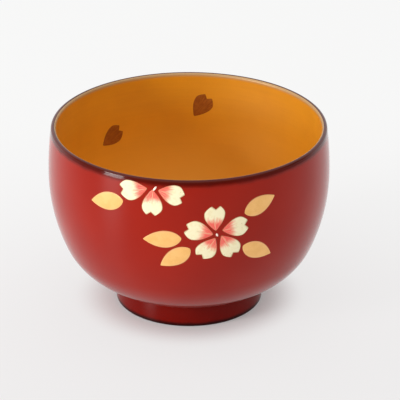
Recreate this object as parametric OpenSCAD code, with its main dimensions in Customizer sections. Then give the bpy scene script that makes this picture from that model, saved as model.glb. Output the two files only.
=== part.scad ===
// Lacquered rice bowl: a turned wooden core under coats of lacquer, with a
// blossom and leaf decoration laid on it as thin films.
// The table is at z = 0, +Z is up and the bowl's axis is the Z axis.
// The decoration's front centre line faces -Y.

/* [Bowl] */
// Height of the bowl, table to lip
height = 76.4; // [60:0.5:95]
// Diameter of the bowl at its widest
belly_d = 114; // [95:0.5:140]
// Depth of the widest ring under the lip
belly_drop = 20; // [14:0.5:26]
// How far the outside of the lip stands inside the widest ring
rim_inset = 1.3; // [1.2:0.1:3]
// Radius of the full round on the lip
lip_r = 1.05; // [0.8:0.05:1.2]

/* [Outside curve] */
// Radius of the side below the widest ring
side_r = 74; // [60:1:90]
// Radius of the haunch, between side and underside
haunch_r = 28; // [22:1:34]
// Radius of the underside
bottom_r = 72; // [62:1:88]
// Height at which the underside's curve would cross the axis
bottom_z = 2; // [1:0.1:4]

/* [Wall] */
// Thickness of the wall at the widest ring, lacquer included
wall_t = 3; // [2.4:0.1:4]
// Thickness of the floor over the foot's recess, lacquer included
floor_t = 5; // [3.5:0.1:7]
// Thickness of one coat of lacquer
coat_t = 0.3; // [0.2:0.02:0.4]
// How far the dark rim lacquer runs past the lip's crest, in degrees round the lip
rim_over = 25; // [5:5:60]

/* [Foot] */
// Outside diameter of the foot ring
foot_d = 60; // [48:0.5:74]
// Width of the foot ring
foot_wall = 3.5; // [2.5:0.1:5]
// Depth of the recess inside the foot ring
recess_h = 6; // [5:0.1:7.5]
// Radius of the sole's edges
sole_round = 0.8; // [0.5:0.05:1]

/* [Decoration] */
// Thickness of a decoration film
film_t = 0.12; // [0.1:0.01:0.2]
// Width of a blossom petal
petal_w = 8.2; // [6:0.1:9]
// Depth of the notch between a petal's two tips
petal_notch = 1.6; // [0.5:0.1:2.5]
// Width of a leaf
leaf_w = 7.4; // [6:0.1:9]
// Length of a petal laid on the inside wall
inner_petal_l = 11.2; // [8:0.1:13]

/* [Full blossom] */
// Place of its middle: across from the front centre line, and drop under the lip
full_blossom_at = [10.9, 22.6]; // [0:0.1:30]
// Petal 1: base across, base up, heading in degrees, length, bow
full_petal_1 = [-0.5, 2, 89.5, 10.4, 0.5]; // [-180:0.1:180]
// Petal 2: base across, base up, heading in degrees, length, bow
full_petal_2 = [2.2, 1.8, 6.5, 10.7, 0]; // [-180:0.1:180]
// Petal 3: base across, base up, heading in degrees, length, bow
full_petal_3 = [1.8, -0.6, -59, 11.2, 0.2]; // [-180:0.1:180]
// Petal 4: base across, base up, heading in degrees, length, bow
full_petal_4 = [-0.7, -1.4, -126, 10.3, 0.4]; // [-180:0.1:180]
// Petal 5: base across, base up, heading in degrees, length, bow
full_petal_5 = [-1.6, 0.4, 165, 11.4, 0]; // [-180:0.1:180]
// Length and width of the middle dot
full_dot = [1.4, 0.8]; // [0.5:0.1:2]

/* [Half blossom] */
// Place of its middle: across from the front centre line, and drop under the lip
half_blossom_at = [-13.7, 4.4]; // [-30:0.1:30]
// Petal 1: base across, base up, heading in degrees, length, bow
half_petal_1 = [-3, 0.6, -170.5, 11.5, 0.5]; // [-180:0.1:180]
// Petal 2: base across, base up, heading in degrees, length, bow
half_petal_2 = [-0.8, 0.3, -93, 10.8, 0.4]; // [-180:0.1:180]
// Petal 3: base across, base up, heading in degrees, length, bow
half_petal_3 = [1.6, 0.3, -16, 10.4, 0.3]; // [-180:0.1:180]
// Base of the stamen: across and up
stamen_at = [-0.5, 0]; // [-3:0.1:3]
// Length and width of the stamen
stamen = [2.2, 0.8]; // [0.5:0.1:3]
// Heading of the stamen in degrees
stamen_heading = 55; // [0:5:90]

/* [Leaves] */
// Leaf 1: across from the front centre line, drop under the lip, heading, length
leaf_1_at = [-34.2, 12.2, -167, 15.3]; // [-180:0.1:180]
// Leaf 2: across from the front centre line, drop under the lip, heading, length
leaf_2_at = [-10.6, 24.5, -175, 15.2]; // [-180:0.1:180]
// Leaf 3: across from the front centre line, drop under the lip, heading, length
leaf_3_at = [-5.5, 32.5, -144, 14.4]; // [-180:0.1:180]
// Leaf 4: across from the front centre line, drop under the lip, heading, length
leaf_4_at = [28.9, 12.5, 19, 14.2]; // [-180:0.1:180]
// Leaf 5: across from the front centre line, drop under the lip, heading, length
leaf_5_at = [28.3, 32.4, -27, 14.6]; // [-180:0.1:180]

/* [Inside petals] */
// Petal 1: across from the back centre line, drop under the lip, heading
inner_petal_1_at = [-34.9, 24.4, 28]; // [-180:0.1:180]
// Petal 2: across from the back centre line, drop under the lip, heading
inner_petal_2_at = [5.3, 15, 56]; // [-180:0.1:180]

/* [Hidden] */

// Facets of a full turn
$fn = 96;
// Straight steps in each arc of the section, from the underside up to the lip
under_steps = 8;
bottom_steps = 4;
haunch_steps = 12;
side_steps = 8;
upper_steps = 4;
lip_steps = 5;
sole_steps = 4;
// Straight steps along each side of a petal and of a leaf, and round a dot
petal_steps = 12;
leaf_steps = 12;
dot_steps = 24;
// Where along its length a petal is widest, how full it is below that, and how far
// apart its tips stand, as a share of its width
petal_shoulder = 0.67;
petal_fullness = 0.9;
petal_tips = 0.48;
// Fullness of a leaf at its round end and at its pointed end
leaf_round = 0.7;
leaf_point = 0.95;
// Reach of the cutter that gives a film its outline, each way along its normal
cutter_reach = 6;

belly_r = belly_d / 2;
belly_z = height - belly_drop;
rim_z = height - lip_r;
foot_r = foot_d / 2;
ring_in_r = foot_r - foot_wall;
floor_z = recess_h + floor_t;

// Centre and radius of each arc of the outside, from the underside up to the lip
upper_r = (pow(rim_inset + lip_r, 2) + pow(rim_z - belly_z, 2) - pow(lip_r, 2)) / (2 * rim_inset);
upper_c = [belly_r - upper_r, belly_z];
side_c = [belly_r - side_r, belly_z];
bottom_c = [0, bottom_z + bottom_r];
// The haunch touches both its neighbours: its centre lies where two circles cross
to_side = side_r - haunch_r;
to_bottom = bottom_r - haunch_r;
between = norm(bottom_c - side_c);
along = (pow(to_side, 2) - pow(to_bottom, 2) + pow(between, 2)) / (2 * between);
aside = sqrt(pow(to_side, 2) - pow(along, 2));
ahead = (bottom_c - side_c) / between;
haunch_c = side_c + along * ahead + aside * [ahead[1], -ahead[0]];
// Angle of the outside's normal where two arcs meet
low_turn = angle_of(haunch_c - bottom_c);
high_turn = angle_of(haunch_c - side_c);
lip_turn = angle_of([belly_r - rim_inset - lip_r, rim_z] - upper_c);
rim_end = 90 + rim_over;
lip_end = lip_turn + 180;

function angle_of(v) = atan2(v[1], v[0]);
function after_first(list) = [for (i = [1 : len(list) - 1]) list[i]];
function reversed(list) = [for (i = [len(list) - 1 : -1 : 0]) list[i]];
function eased(x) = x * x * (3 - 2 * x);
function on_circle(c, r, a) = c + r * [cos(a), sin(a)];

// An arc as points, from its first angle to its last
function arc(c, r, a0, a1, steps) =
    [for (i = [0 : steps]) on_circle(c, r, a0 + (a1 - a0) * i / steps)];

// Stations up the outside, without the first: [radius, height, angle of the normal]
function stations(c, r, a0, a1, steps) =
    [for (i = [1 : steps]) let (a = a0 + (a1 - a0) * i / steps, p = on_circle(c, r, a)) [p[0], p[1], a]];

// Arcs from the underside up to the widest ring, any of which the foot ring may meet:
// [centre, radius, first turn, last turn, steps]
low_arcs = [
    [bottom_c, bottom_r, -90, low_turn, bottom_steps],
    [haunch_c, haunch_r, low_turn, high_turn, haunch_steps],
    [side_c, side_r, high_turn, 0, side_steps]];

// Turn at which an arc comes out to the foot ring's radius, held to the arc
function foot_turn(part) = let (across = max(-1, min(1, (foot_r - part[0][0]) / part[1])))
    max(part[2], min(part[3], -acos(across)));
// Stations inside the foot ring's outside wall, and those above it
under_path = [for (part = low_arcs) if (foot_turn(part) > part[2])
    each stations(part[0], part[1], part[2], foot_turn(part), under_steps)];
above_path = [for (part = low_arcs) if (foot_turn(part) < part[3])
    each stations(part[0], part[1], foot_turn(part), part[3], part[4])];
foot_station = len(under_path);
wall_path = concat(
    [[0, bottom_z, -90]],
    under_path,
    above_path,
    stations(upper_c, upper_r, 0, lip_turn, upper_steps));

// Thickness of the wall at a station: from the floor up to the widest ring, then to the lip
middle_t = floor_z - bottom_z;
function blend(a, b, x) = a + (b - a) * eased(x);
function wall_at(p) = p[2] < 0
    ? blend(middle_t, wall_t, (p[2] + 90) / 90)
    : blend(wall_t, 2 * lip_r, p[2] / lip_turn);

// A station moved into the wall
function sunk(p, depth) = [p[0] - depth * cos(p[2]), p[1] - depth * sin(p[2])];
function outside(depth) = [for (p = wall_path) sunk(p, depth)];
function inside(depth) = [for (p = wall_path) sunk(p, wall_at(p) - depth)];
lip_c = sunk(wall_path[len(wall_path) - 1], lip_r);

// Lean of the outside's normal above level, and radius of the outside, at a height
side_low_z = on_circle(side_c, side_r, high_turn)[1];
function lean_at(z) = z > belly_z ? asin((z - belly_z) / upper_r)
    : z > side_low_z ? asin((z - belly_z) / side_r)
    : asin((z - haunch_c[1]) / haunch_r);
function radius_at(z) = z > belly_z ? upper_c[0] + upper_r * cos(lean_at(z))
    : z > side_low_z ? side_c[0] + side_r * cos(lean_at(z))
    : haunch_c[0] + haunch_r * cos(lean_at(z));

// The lip's round: under the rim lacquer, and from its edge to the inside wall
function rim_line(r) = concat(
    arc(lip_c, r, lip_turn, 90, lip_steps),
    after_first(arc(lip_c, r, 90, rim_end, lip_steps)));
function lip_line(r) = arc(lip_c, r, rim_end, lip_end, lip_steps);

// The part of a line up the wall that lies outside the foot ring
function above_foot(line) = [for (i = [foot_station : len(line) - 1]) line[i]];
foot_joint = above_foot(outside(0))[0];
core_joint = above_foot(outside(coat_t))[0];

// The foot ring from its outside wall round the sole and over the recess to the
// axis, drawn in by inset
function foot_line(inset) = concat(
    arc([foot_r - sole_round, sole_round], sole_round - inset, 0, -90, sole_steps),
    arc([ring_in_r + sole_round, sole_round], sole_round - inset, -90, -180, sole_steps),
    [[ring_in_r + inset, recess_h + inset], [0, recess_h + inset]]);

module wood_core() {
    color("burlywood") rotate_extrude() polygon(concat(
        above_foot(outside(coat_t)),
        after_first(rim_line(lip_r - coat_t)),
        after_first(lip_line(lip_r - coat_t)),
        after_first(reversed(inside(coat_t))),
        reversed(foot_line(coat_t)),
        [[foot_r - coat_t, core_joint[1]]]));
}

module outer_lacquer() {
    color("firebrick") rotate_extrude() polygon(concat(
        above_foot(outside(0)),
        reversed(above_foot(outside(coat_t)))));
}

module rim_lacquer() {
    color("maroon") rotate_extrude() polygon(concat(
        rim_line(lip_r),
        reversed(rim_line(lip_r - coat_t))));
}

module inner_lacquer() {
    color("peru") rotate_extrude() polygon(concat(
        lip_line(lip_r),
        after_first(reversed(inside(0))),
        inside(coat_t),
        after_first(reversed(lip_line(lip_r - coat_t)))));
}

module foot_lacquer() {
    color("darkred") rotate_extrude() polygon(concat(
        [foot_joint],
        foot_line(0),
        reversed(foot_line(coat_t)),
        [[foot_r - coat_t, core_joint[1]], core_joint]));
}

// Half the width of a petal at a share of its length, from its base
function petal_half(s) = petal_w / 2 * (s < petal_shoulder
    ? sin(90 * pow(s / petal_shoulder, petal_fullness))
    : 1 - (1 - petal_tips) * pow((s - petal_shoulder) / (1 - petal_shoulder), 2));

// Outline of a petal: base at the origin, length along X, notched far end. Its
// middle line is bowed to the left by bow, half way along
module petal_outline(length, bow = 0) {
    function bent(s, y) = [length * s, y + 4 * bow * s * (1 - s)];
    share = [for (i = [1 : petal_steps]) i / petal_steps];
    notch_s = 1 - petal_notch / length;
    polygon(concat([[0, 0]], [for (s = share) bent(s, -petal_half(s))], [bent(notch_s, 0)],
        [for (s = reversed(share)) bent(s, petal_half(s))]));
}

// Half the width of a leaf at a share of its length, from its round end
leaf_widest = leaf_round / (leaf_round + leaf_point);
function leaf_half(s) = leaf_w / 2 * pow(s / leaf_widest, leaf_round)
    * pow((1 - s) / (1 - leaf_widest), leaf_point);

// Outline of a leaf: middle at the origin, length along X, pointed far end
module leaf_outline(length) {
    share = [for (i = [1 : leaf_steps - 1]) (1 - cos(180 * i / leaf_steps)) / 2];
    side = [for (s = share) [length * (s - 0.5), leaf_half(s)]];
    polygon(concat([[-length / 2, 0]], [for (p = side) [p[0], -p[1]]], [[length / 2, 0]],
        reversed(side)));
}

// Outline of an oval dot, long way along X
module dot_outline(size) {
    polygon([for (i = [1 : dot_steps]) let (a = 360 * i / dot_steps)
        [size[0] / 2 * cos(a), size[1] / 2 * sin(a)]]);
}

// Puts a drawing on the outside wall: X to the right, Y up, seen from outside
module on_outside(at) {
    z = height - at[1];
    turn = at[0] / belly_r * 180 / PI - 90;
    rotate([0, 0, turn]) translate([radius_at(z), 0, z]) rotate([0, -lean_at(z), 0])
        rotate([90, 0, 90]) translate([0, 0, -cutter_reach])
            linear_extrude(height = 2 * cutter_reach) children();
}

// Puts a drawing on the back of the inside wall: X to the right, Y up, seen from inside
module on_inside(at) {
    z = height - at[1];
    turn = 90 - at[0] / (belly_r - wall_t) * 180 / PI;
    rotate([0, 0, turn]) translate([radius_at(z) - wall_t, 0, z]) rotate([0, -lean_at(z), 0])
        rotate([90, 0, -90]) translate([0, 0, -cutter_reach])
            linear_extrude(height = 2 * cutter_reach) children();
}

// Keeps what lies in the film on the outside, or on the inside, of the bowl
module outside_film() {
    intersection() {
        rotate_extrude() polygon(concat(outside(-film_t), reversed(outside(0))));
        children();
    }
}

module inside_film() {
    intersection() {
        rotate_extrude() polygon(concat(inside(0), reversed(inside(-film_t))));
        children();
    }
}

// One petal of a blossom: [base across, base up, heading, length, bow]
module blossom_petal(blossom_at, petal) {
    color("cornsilk") outside_film() on_outside(blossom_at)
        translate([petal[0], petal[1]]) rotate(petal[2]) petal_outline(petal[3], petal[4]);
}

module leaf(at) {
    color("goldenrod") outside_film() on_outside(at) rotate(at[2]) leaf_outline(at[3]);
}

module inner_petal(at) {
    color("sienna") inside_film() on_inside(at)
        rotate(at[2]) translate([-inner_petal_l / 2, 0]) petal_outline(inner_petal_l);
}

module full_blossom_dot() {
    color("ivory") outside_film() on_outside(full_blossom_at) rotate(110) dot_outline(full_dot);
}

module half_blossom_stamen() {
    color("ivory") outside_film() on_outside(half_blossom_at)
        translate(stamen_at) rotate(stamen_heading) translate([stamen[0] / 2, 0]) dot_outline(stamen);
}

wood_core();
outer_lacquer();
inner_lacquer();
rim_lacquer();
foot_lacquer();
blossom_petal(full_blossom_at, full_petal_1);  // full_blossom_petal_1
blossom_petal(full_blossom_at, full_petal_2);  // full_blossom_petal_2
blossom_petal(full_blossom_at, full_petal_3);  // full_blossom_petal_3
blossom_petal(full_blossom_at, full_petal_4);  // full_blossom_petal_4
blossom_petal(full_blossom_at, full_petal_5);  // full_blossom_petal_5
full_blossom_dot();
blossom_petal(half_blossom_at, half_petal_1);  // half_blossom_petal_1
blossom_petal(half_blossom_at, half_petal_2);  // half_blossom_petal_2
blossom_petal(half_blossom_at, half_petal_3);  // half_blossom_petal_3
half_blossom_stamen();
leaf(leaf_1_at);  // leaf_1
leaf(leaf_2_at);  // leaf_2
leaf(leaf_3_at);  // leaf_3
leaf(leaf_4_at);  // leaf_4
leaf(leaf_5_at);  // leaf_5
inner_petal(inner_petal_1_at);  // inner_petal_1
inner_petal(inner_petal_2_at);  // inner_petal_2
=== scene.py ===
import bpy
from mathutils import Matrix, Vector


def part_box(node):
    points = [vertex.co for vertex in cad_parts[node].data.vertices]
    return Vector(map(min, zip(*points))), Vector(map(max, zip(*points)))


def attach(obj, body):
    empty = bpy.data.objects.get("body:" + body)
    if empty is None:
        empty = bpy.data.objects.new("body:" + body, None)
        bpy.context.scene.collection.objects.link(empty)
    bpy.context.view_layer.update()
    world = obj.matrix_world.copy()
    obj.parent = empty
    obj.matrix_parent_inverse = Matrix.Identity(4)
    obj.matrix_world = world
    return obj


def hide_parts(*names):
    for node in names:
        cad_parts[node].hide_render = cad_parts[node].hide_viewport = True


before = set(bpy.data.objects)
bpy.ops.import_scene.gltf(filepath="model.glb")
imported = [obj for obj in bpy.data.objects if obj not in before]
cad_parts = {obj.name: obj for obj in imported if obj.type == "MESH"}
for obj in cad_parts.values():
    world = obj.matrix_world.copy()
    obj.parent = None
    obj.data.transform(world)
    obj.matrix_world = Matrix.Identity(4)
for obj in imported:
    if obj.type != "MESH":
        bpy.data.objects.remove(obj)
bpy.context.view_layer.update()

"""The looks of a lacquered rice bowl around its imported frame.

The bowl is a turned wooden core under coats of lacquer. Core and coats are turned here as smooth
closed meshes from the same arcs as the frame's, and each petal and leaf is a thin raised film
that follows the wall. Lengths are in metres, angles in radians unless a name says otherwise. A
Span is where a smooth step starts and where it is full.
"""

import logging
import math
from dataclasses import dataclass, field, replace
from enum import Enum
from typing import Any, Callable, Sequence

import bmesh
import bpy
import numpy as np
from mathutils import Vector

MM = 0.001
LOG = logging.getLogger("rice_bowl")
Colour = tuple[float, float, float]
Span = tuple[float, float]
Points = np.ndarray
WHITE: Colour = (1.0, 1.0, 1.0)

# How noise turns into patches: gently over its whole range, or in its upper part
SOFT: Span = (0.3, 0.7)
PATCHY: Span = (0.45, 0.7)

# A radius that counts as the axis, and a rise that keeps the level floor's heights apart
AXIS_R = 1e-6
HAIR = 1e-9

# A Mix node's sockets for colours, by number
MIX_FIRST, MIX_SECOND, MIX_COLOUR = 6, 7, 2


# ---- shader kit


class Ray(Enum):
    """Kinds of ray that a material can tell apart."""

    CAMERA = "Is Camera Ray"
    GLOSSY = "Is Glossy Ray"
    TRANSMISSION = "Is Transmission Ray"


class FilmMap(Enum):
    """Names of the maps that every film carries: over its shape, and over its grid."""

    SHAPE = "film"
    EDGE = "edge"


def math_operator(operation: str, turned: bool = False) -> Callable[["Signal", Any], "Signal"]:
    """An operator of Signal that adds one Math node, with its two values turned round if asked."""
    return lambda one, other: one.computed(operation, *((other, one) if turned else (one, other)))


class Signal:
    """A number or vector socket that adds Math nodes when it is used in arithmetic."""

    def __init__(self, graph: "Graph", socket: bpy.types.NodeSocket) -> None:
        """Wraps an output socket of a graph."""
        self.graph = graph
        self.socket = socket

    def computed(self, operation: str, *values: Any, clamp: bool = False) -> "Signal":
        """The result of one Math node, held within 0 and 1 if clamp is set."""
        settings = {"operation": operation, "use_clamp": clamp}
        return self.graph.node("ShaderNodeMath", settings, dict(enumerate(values)))

    __add__ = __radd__ = math_operator("ADD")
    __sub__, __rsub__ = math_operator("SUBTRACT"), math_operator("SUBTRACT", turned=True)
    __mul__ = __rmul__ = math_operator("MULTIPLY")
    __truediv__, __rtruediv__ = math_operator("DIVIDE"), math_operator("DIVIDE", turned=True)
    __pow__, __rpow__ = math_operator("POWER"), math_operator("POWER", turned=True)
    larger = math_operator("MAXIMUM")

    def __abs__(self) -> "Signal":
        """Size without sign."""
        return self.computed("ABSOLUTE", self)

    def clamped(self) -> "Signal":
        """The value held within 0 and 1."""
        return self.computed("ADD", self, 0.0, clamp=True)

    def whole(self) -> "Signal":
        """The value without its fraction."""
        return self.computed("FLOOR", self)

    def step(self, low: float, high: float) -> "Signal":
        """A smooth step.

        Args:
            low: value at which the step starts at 0.
            high: value at which it reaches 1, above or below low.

        Returns:
            The step, from 0 to 1.
        """
        if low > high:
            return 1 - self.step(high, low)
        settings = {"interpolation_type": "SMOOTHSTEP"}
        inputs = {"Value": self, "From Min": low, "From Max": high}
        return self.graph.node("ShaderNodeMapRange", settings, inputs)

    def parts(self) -> tuple["Signal", "Signal", "Signal"]:
        """X, Y and Z of a vector."""
        node = self.graph.node("ShaderNodeSeparateXYZ", {}, {"Vector": self}).socket.node
        return tuple(Signal(self.graph, out) for out in node.outputs)


class Graph:
    """Builds the nodes of one node tree."""

    def __init__(self, tree: bpy.types.NodeTree) -> None:
        """Takes a material's or a world's tree and empties it."""
        self.tree = tree
        self.tree.nodes.clear()

    def node(self, kind: str, settings: dict[str, Any], inputs: dict[Any, Any],
             output: int | str | None = 0) -> Signal | None:
        """Adds any node.

        Args:
            kind: the node's type.
            settings: its properties, set first.
            inputs: values or signals by input name or number.
            output: which output to return, or None.

        Returns:
            The chosen output.
        """
        node = self.tree.nodes.new(kind)
        for name, value in settings.items():
            setattr(node, name, value)
        for name, value in inputs.items():
            self.feed(node.inputs[name], value)
        return None if output is None else Signal(self, node.outputs[output])

    def feed(self, socket: bpy.types.NodeSocket, value: Any) -> None:
        """Links a signal to a socket, or sets the socket's value.

        Args:
            socket: an input socket.
            value: a signal, a number, a vector or a colour.
        """
        if isinstance(value, Signal):
            self.tree.links.new(value.socket, socket)
        elif socket.type == "RGBA" and len(value) == len(WHITE):
            socket.default_value = (*value, 1.0)
        else:
            socket.default_value = value

    def place(self) -> Signal:
        """The point in the bowl's frame."""
        return self.node("ShaderNodeTexCoord", {}, {}, "Object")

    def film_map(self, sheet: FilmMap) -> tuple[Signal, Signal]:
        """A film's two coordinates in one of its maps, along and across it."""
        return self.node("ShaderNodeUVMap", {"uv_map": sheet.value}, {}).parts()[:2]

    def film_edge(self, start: float = 0.9, full: float = 0.98) -> Signal:
        """1 along a film's outline and 0 within it, with the step at shares of its half width."""
        along, across = self.film_map(FilmMap.EDGE)
        return abs(across * 2 - 1).larger(abs(along * 2 - 1)).step(start, full)

    def noise(self, vector: Signal, size: float, detail: float = 2.0) -> Signal:
        """Smooth noise about 0.5, in blobs of a size and with some octaves of detail."""
        inputs = {"Vector": vector, "Scale": 1 / size, "Detail": detail, "Roughness": 0.5}
        return self.node("ShaderNodeTexNoise", {}, inputs)

    def waver(self, vector: Signal, size: float, reach: float) -> Signal:
        """Smooth noise about 0, up to half of reach either way."""
        return (self.noise(vector, size) - 0.5) * reach

    def stretched(self, vector: Signal, scale: Colour) -> Signal:
        """Coordinates multiplied along each axis."""
        return self.node("ShaderNodeVectorMath", {"operation": "MULTIPLY"}, {0: vector, 1: scale})

    def joined(self, x: Any, y: Any, z: Any = 0.0) -> Signal:
        """A vector from three numbers or signals."""
        return self.node("ShaderNodeCombineXYZ", {}, {"X": x, "Y": y, "Z": z})

    def specks(self, vector: Signal, pitch: float, radius: float) -> Signal:
        """1 in soft round specks of a radius, scattered at about a pitch, and 0 outside them."""
        away = self.node("ShaderNodeTexVoronoi", {}, {"Vector": vector, "Scale": 1 / pitch}, "Distance")
        return away.step(radius / pitch, 0.5 * radius / pitch)

    def ray(self, kind: Ray) -> Signal:
        """1 for a ray of a kind and 0 for any other."""
        return self.node("ShaderNodeLightPath", {}, {}, kind.value)

    def seen_or_mirrored(self) -> Signal:
        """1 for a ray from the eye, from a mirror or through glass, 0 for a ray of soft light."""
        return self.ray(Ray.CAMERA).larger(self.ray(Ray.GLOSSY)).larger(self.ray(Ray.TRANSMISSION))

    def mixed(self, factor: Any, a: Any, b: Any) -> Signal:
        """A colour between two colours: the first at factor 0, the second at factor 1."""
        inputs = {"Factor": factor, MIX_FIRST: a, MIX_SECOND: b}
        return self.node("ShaderNodeMix", {"data_type": "RGBA"}, inputs, MIX_COLOUR)

    def bump(self, height: Signal, depth: float) -> Signal:
        """A normal roughened by a height, whose 1 stands for a depth."""
        return self.node("ShaderNodeBump", {}, {"Height": height, "Distance": depth})


class Shader(Graph):
    """Builds one material round its Principled shader."""

    def __init__(self, name: str) -> None:
        """Starts a material.

        Args:
            name: the material's name.
        """
        self.material = bpy.data.materials.new(name)
        self.material.use_nodes = True
        super().__init__(self.material.node_tree)

    def finish(self, **values: Any) -> bpy.types.Material:
        """Adds the Principled shader and ends the material.

        Args:
            values: values or signals by socket name, with underscores for spaces.

        Returns:
            The material.
        """
        inputs = {name.replace("_", " "): value for name, value in values.items()}
        surface = self.node("ShaderNodeBsdfPrincipled", {}, inputs)
        self.node("ShaderNodeOutputMaterial", {}, {"Surface": surface}, None)
        return self.material


# ---- lacquers


@dataclass(frozen=True)
class CoatLook:
    """What a coat of lacquer shows at a place, with the share of its roughness that is left."""

    place: Signal
    colour: Signal
    height: Signal
    dullness: Any = 1.0


@dataclass(frozen=True)
class PolishedLacquer:
    """Deep polished lacquer over turned wood, with the faint unevenness of a hand coat."""

    name: str
    colour: Colour
    deep: Colour
    roughness: float = 0.31
    uneven_roughness: float = 0.04
    ior: float = 1.26
    coat_ior: float = 1.13
    coat_roughness: float = 0.04
    brushed: float = 0.9
    brush_turn: float = 0.25
    bump_depth: float = 0.03 * MM
    cloud_size: float = 22 * MM
    cloud_share: float = 0.5
    ripple_size: float = 6 * MM
    grain_size: float = 1.6 * MM
    grain_squash: float = 6.0
    dust_pitch: float = 7 * MM
    dust_r: float = 0.12 * MM

    def build(self) -> bpy.types.Material:
        """Makes the material.

        Returns:
            The lacquer.
        """
        shader = Shader(self.name)
        place = shader.place()
        cloud = shader.noise(place, self.cloud_size, 3).step(*SOFT)
        colour = shader.mixed(cloud * self.cloud_share, self.colour, self.deep)
        ripple = shader.noise(place, self.ripple_size, 1)
        grain = shader.noise(shader.stretched(place, (1, 1, self.grain_squash)), self.grain_size)
        dust = shader.specks(place, self.dust_pitch, self.dust_r)
        height = ripple * 0.7 + grain * 0.08 + dust * 0.3
        look = self.dressed(shader, CoatLook(place, colour, height))
        roughness = (cloud * self.uneven_roughness + self.roughness) * look.dullness
        return shader.finish(
            Base_Color=look.colour, Roughness=roughness,
            Normal=shader.bump(look.height, self.bump_depth), IOR=self.ior,
            Anisotropic=self.brushed, Anisotropic_Rotation=self.brush_turn,
            Coat_Weight=1.0, Coat_Roughness=self.coat_roughness, Coat_IOR=self.coat_ior)

    def dressed(self, shader: Shader, look: CoatLook) -> CoatLook:
        """The look with what this coat alone shows; a plain coat adds nothing."""
        return look


@dataclass(frozen=True)
class BodyLacquer(PolishedLacquer):
    """The red outside, which darkens towards the lip's joint, as pooled dark lacquer and painted shade,
    and rounds over and shines more there.
    """

    joint: float = 75 * MM
    # Colour under the lip: partly dark lacquer pooled there, partly painted shade
    pooled_and_shade: Colour = (0.05, 0.002, 0.001)
    pooled_and_shade_share: float = 0.85
    pool_and_shade: Span = (2.6 * MM, 0.2 * MM)
    pool_and_shade_size: float = 5 * MM
    pool_and_shade_waver: float = 1.2 * MM
    shoulder: float = 1.4 * MM
    shoulder_drop: float = 0.227 * MM
    shine: Span = (1.9 * MM, 1.1 * MM)
    shine_share: float = 0.5

    def dressed(self, shader: Shader, look: CoatLook) -> CoatLook:
        """Darkens the colour under the lip as pooled dark lacquer and painted shade, rounds the shoulder
        over and makes it shine.

        Args:
            shader: the material's builder.
            look: the plain coat.

        Returns:
            The dressed coat.
        """
        drop = self.joint - look.place.parts()[2]
        uneven = shader.waver(look.place, self.pool_and_shade_size, self.pool_and_shade_waver)
        # Painted shade under the lip, over the dark lacquer pooled there
        pool_and_shade = (drop + uneven).step(*self.pool_and_shade) * self.pooled_and_shade_share
        lifted = (1 - drop / self.shoulder).clamped()
        sunk = lifted * lifted * (self.shoulder_drop / self.bump_depth)
        return replace(look, colour=shader.mixed(pool_and_shade, look.colour, self.pooled_and_shade),
                       height=look.height - sunk,
                       dullness=1 - drop.step(*self.shine) * self.shine_share)


@dataclass(frozen=True)
class LipLacquer(PolishedLacquer):
    """The dark lip, glossier on its outer shoulder than on its worn crest."""

    crest: float = 76 * MM
    wear: Span = (0.4 * MM, 0.2 * MM)
    shoulder_dullness: float = 0.4
    worn_dullness: float = 0.8

    def dressed(self, shader: Shader, look: CoatLook) -> CoatLook:
        """The look with a dull crest."""
        wear_and_shade = look.place.parts()[2].step(*(self.crest - under for under in self.wear))
        return replace(look, dullness=wear_and_shade * self.worn_dullness + self.shoulder_dullness)


@dataclass(frozen=True)
class FootLacquer(PolishedLacquer):
    """The deeper red foot, darker as painted shade under the belly, with painted contact shadow, nearly
    black, along the edge that it stands on.
    """

    sole_shadow_height: float = 1.6 * MM
    edge_fade: Span = (1.5, 0.6)
    sole_shadow_size: float = 3 * MM
    sole_shadow_waver: float = 0.5
    # Near-black colour of the painted contact shadow along the sole
    sole_shadow_colour: Colour = (0.03, 0.001, 0.0005)

    def dressed(self, shader: Shader, look: CoatLook) -> CoatLook:
        """Paints contact shadow, nearly black, along the sole's edge.

        Args:
            shader: the material's builder.
            look: the plain coat.

        Returns:
            The dressed coat.
        """
        wear_and_shade = shader.waver(look.place, self.sole_shadow_size, self.sole_shadow_waver * self.sole_shadow_height)
        fade = (share * self.sole_shadow_height for share in self.edge_fade)
        # Painted contact shadow along the sole's edge, its top made wavy by noise
        sole_shadow = (look.place.parts()[2] + wear_and_shade).step(*fade)
        return replace(look, colour=shader.mixed(sole_shadow, look.colour, self.sole_shadow_colour))


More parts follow.
